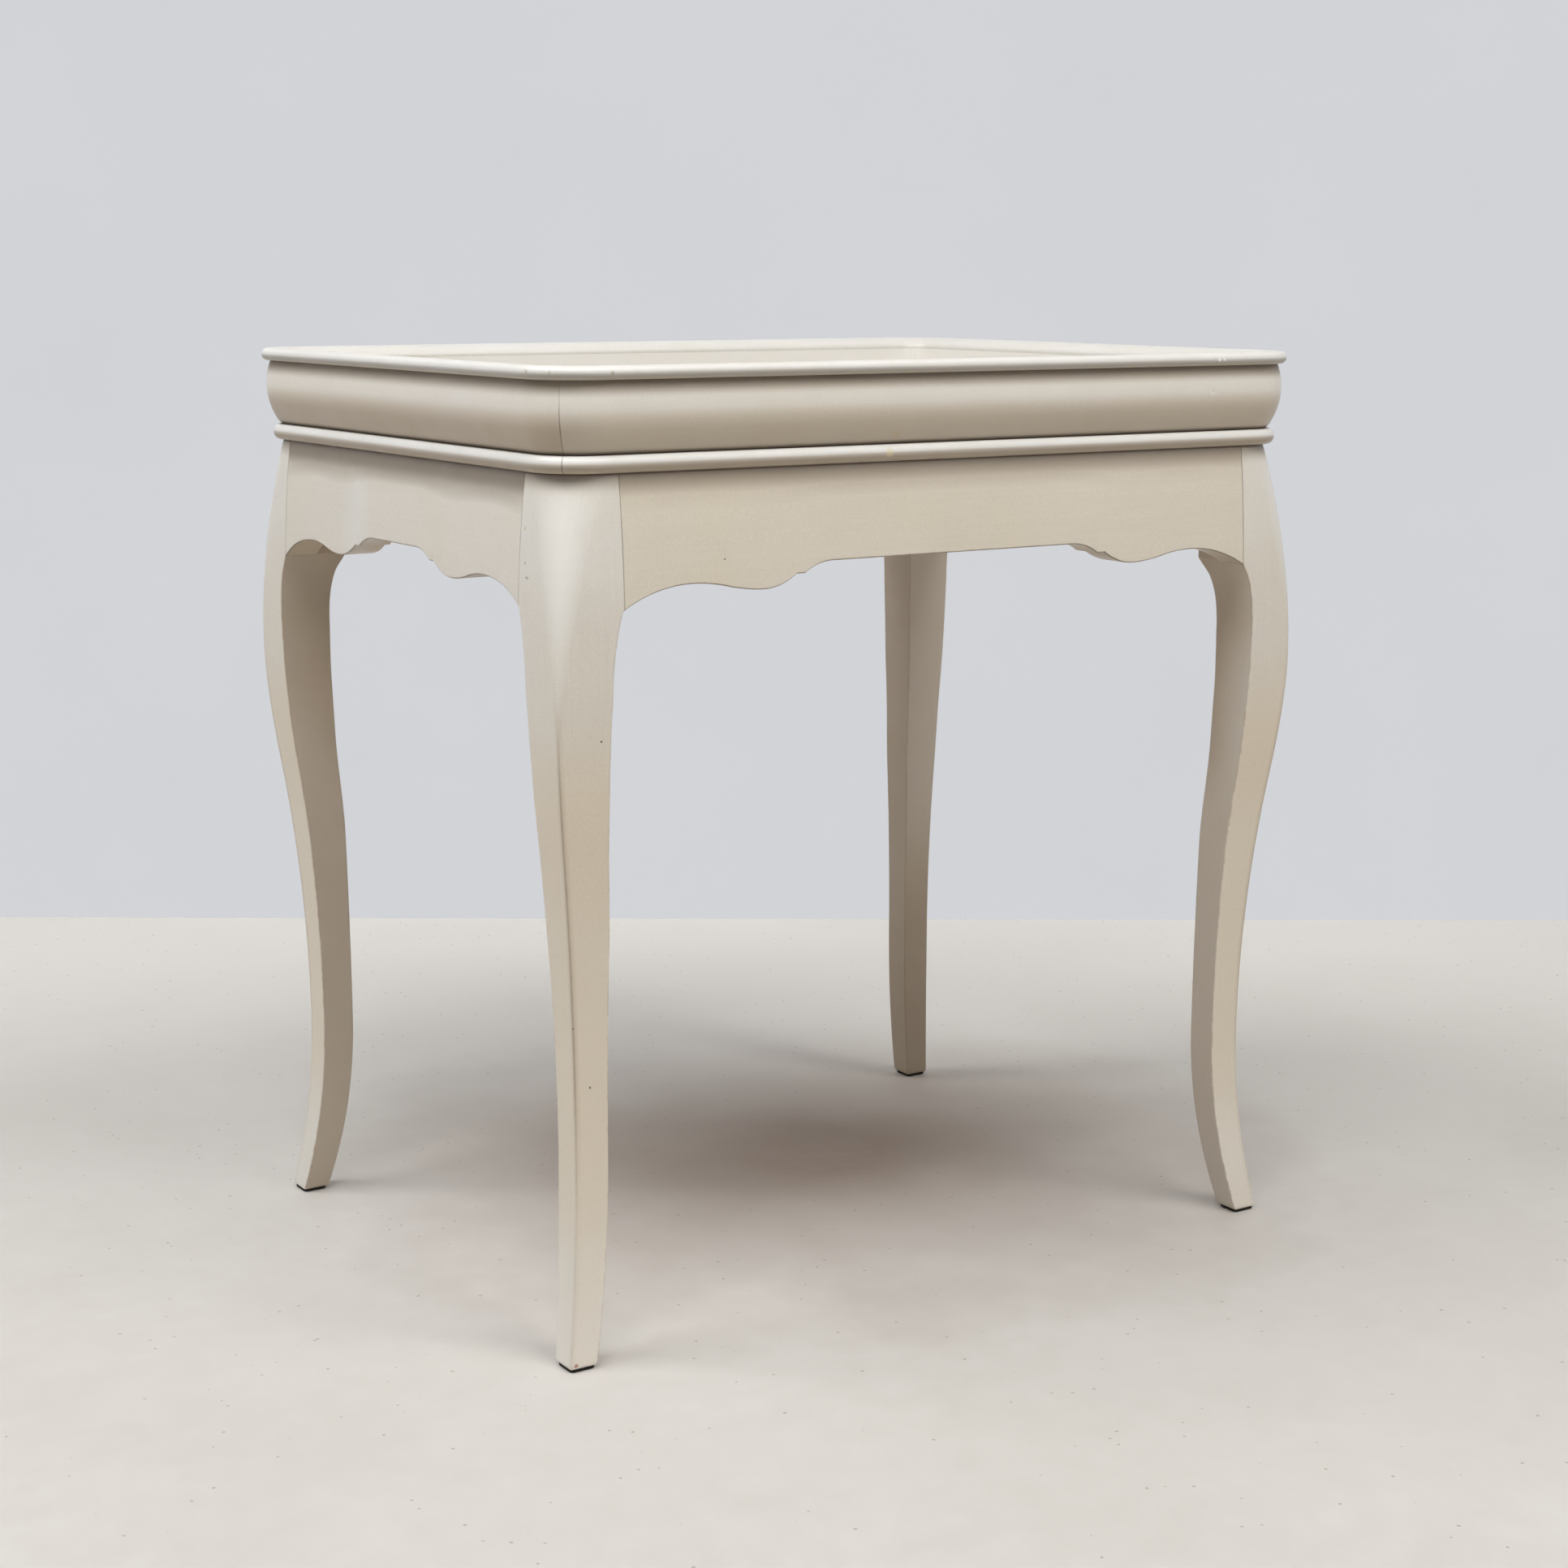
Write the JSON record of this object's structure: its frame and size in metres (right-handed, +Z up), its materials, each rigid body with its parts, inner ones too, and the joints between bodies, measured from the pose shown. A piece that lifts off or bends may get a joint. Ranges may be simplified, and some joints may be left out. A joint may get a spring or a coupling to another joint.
{
  "type": "tray top tea table",
  "caption": "Painted wooden tea table with a deep rounded-corner tray top, swelling frieze between two beads, scalloped aprons and slender cabriole legs.",
  "frame": {"origin": "on the floor under the middle of the table", "axes": "+Z up; X along the long side, +X to the right seen from the front; the front faces -Y"},
  "size_m": [0.672, 0.512, 0.7],
  "materials": {
    "paint_bead": "satin cream paint",
    "paint_frieze": "satin cream paint",
    "paint_leg": "satin cream paint",
    "paint_apron": "satin cream paint",
    "paint_floor": "satin cream paint",
    "raw_wood": "bare wood",
    "nail_iron": "dark iron",
    "pad": "matt black"
  },
  "bodies": {
    "root": {"rim_bead_front": "paint_bead", "rim_bead_back": "paint_bead", "rim_bead_left": "paint_bead", "rim_bead_right": "paint_bead", "frieze_rail_front": "paint_frieze", "frieze_rail_back": "paint_frieze", "frieze_rail_left": "paint_frieze", "frieze_rail_right": "paint_frieze", "base_rail_front": "paint_bead", "base_rail_back": "paint_bead", "base_rail_left": "paint_bead", "base_rail_right": "paint_bead", "apron_front": "paint_apron", "apron_back": "paint_apron", "apron_left": "paint_apron", "apron_right": "paint_apron", "leg_front_left": "paint_leg", "leg_front_right": "paint_leg", "leg_back_left": "paint_leg", "leg_back_right": "paint_leg", "foot_pad_front_left": "pad", "foot_pad_front_right": "pad", "foot_pad_back_left": "pad", "foot_pad_back_right": "pad", "corner_block_front_left": "raw_wood", "corner_block_front_right": "raw_wood", "corner_block_back_left": "raw_wood", "corner_block_back_right": "raw_wood", "tray_floor": "paint_floor", "mitre_keys": "raw_wood", "tray_nails": "nail_iron"}
  },
  "joints": []
}
